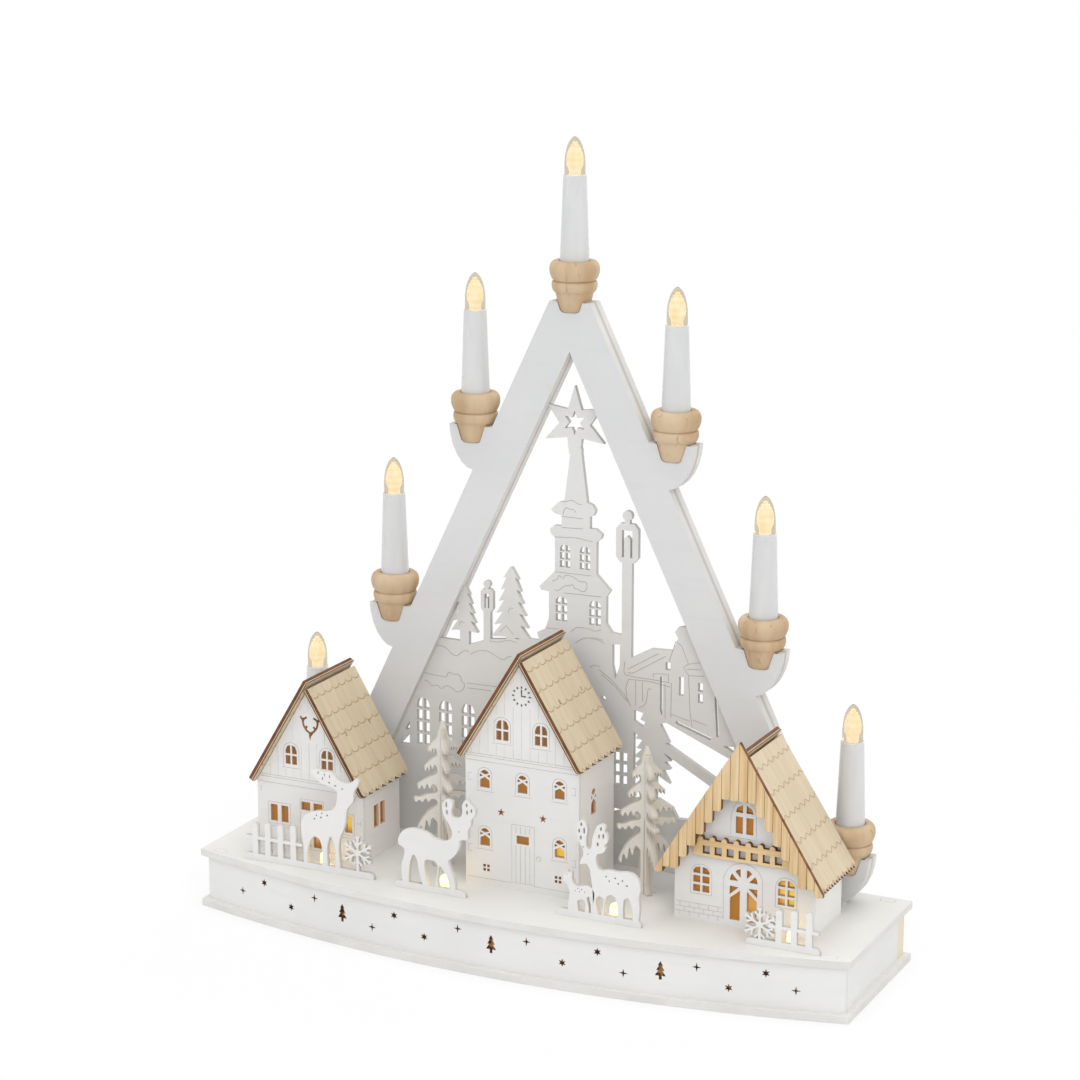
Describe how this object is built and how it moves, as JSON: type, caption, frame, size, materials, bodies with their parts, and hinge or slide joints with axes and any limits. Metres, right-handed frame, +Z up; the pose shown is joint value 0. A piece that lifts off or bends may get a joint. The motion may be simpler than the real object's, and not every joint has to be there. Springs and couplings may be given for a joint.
{
  "type": "christmas window light",
  "caption": "Bow-fronted wooden window light with a triangular candle frame, a village panel, lit houses, trees and deer on its deck.",
  "frame": {"origin": "middle of the face that the light stands on, at the centre of its plan", "axes": "+X to the right as seen from the front, +Y to the back, +Z up"},
  "size_m": [0.4, 0.126, 0.4485],
  "materials": {
    "painted_wood": "matt white paint on plywood",
    "plain_plywood": "bare plywood with dark laser-cut edges",
    "turned_beech": "bare turned beech",
    "candle_white": "satin white candle sleeve",
    "clear_lamp": "clear ribbed lamp, warm white when lit",
    "wiring": "clear jacket and small warm white lamps",
    "dark_plastic": "fine matt black",
    "cell_sleeve": "plain green sleeve"
  },
  "bodies": {
    "window_light": {"base_top_plate": "painted_wood", "base_bottom_plate": "painted_wood", "base_front_panel": "painted_wood", "base_left_side": "painted_wood", "base_right_side": "painted_wood", "base_back_panel": "plain_plywood", "battery_box": "dark_plastic", "battery_1": "cell_sleeve", "battery_2": "cell_sleeve", "battery_3": "cell_sleeve", "power_switch_body": "dark_plastic", "frame_front": "painted_wood", "frame_back": "painted_wood", "village_panel": "painted_wood", "candle_cup_1": "turned_beech", "candle_shaft_1": "candle_white", "candle_lamp_1": "clear_lamp", "candle_cup_2": "turned_beech", "candle_shaft_2": "candle_white", "candle_lamp_2": "clear_lamp", "candle_cup_3": "turned_beech", "candle_shaft_3": "candle_white", "candle_lamp_3": "clear_lamp", "candle_cup_4": "turned_beech", "candle_shaft_4": "candle_white", "candle_lamp_4": "clear_lamp", "candle_cup_5": "turned_beech", "candle_shaft_5": "candle_white", "candle_lamp_5": "clear_lamp", "candle_cup_6": "turned_beech", "candle_shaft_6": "candle_white", "candle_lamp_6": "clear_lamp", "candle_cup_7": "turned_beech", "candle_shaft_7": "candle_white", "candle_lamp_7": "clear_lamp", "light_harness": "wiring", "left_house_front": "painted_wood", "left_house_shell": "painted_wood", "left_house_roof_left": "plain_plywood", "left_house_roof_right": "plain_plywood", "middle_house_front": "painted_wood", "middle_house_shell": "painted_wood", "middle_house_roof_left": "plain_plywood", "middle_house_roof_right": "plain_plywood", "chalet_front": "painted_wood", "chalet_shell": "painted_wood", "chalet_roof_left": "plain_plywood", "chalet_roof_right": "plain_plywood", "chalet_cladding": "plain_plywood", "chalet_railing": "plain_plywood", "tree_left_across": "painted_wood", "tree_left_along": "painted_wood", "tree_right_across": "painted_wood", "tree_right_along": "painted_wood", "figure_deer_fence": "painted_wood", "figure_deer": "painted_wood", "figure_deer_fawn": "painted_wood", "figure_fence": "painted_wood"},
    "battery_door": {"battery_door": "dark_plastic"},
    "power_switch_slider": {"power_switch_slider": "dark_plastic"}
  },
  "joints": [
    {"name": "battery_door_slide", "type": "slide", "parent": "window_light", "child": "battery_door", "axis": [0, 1, 0], "range_m": [0, 0.05]},
    {"name": "power_switch_slide", "type": "slide", "parent": "window_light", "child": "power_switch_slider", "axis": [1, 0, 0], "range_m": [-0.004, 0]}
  ]
}
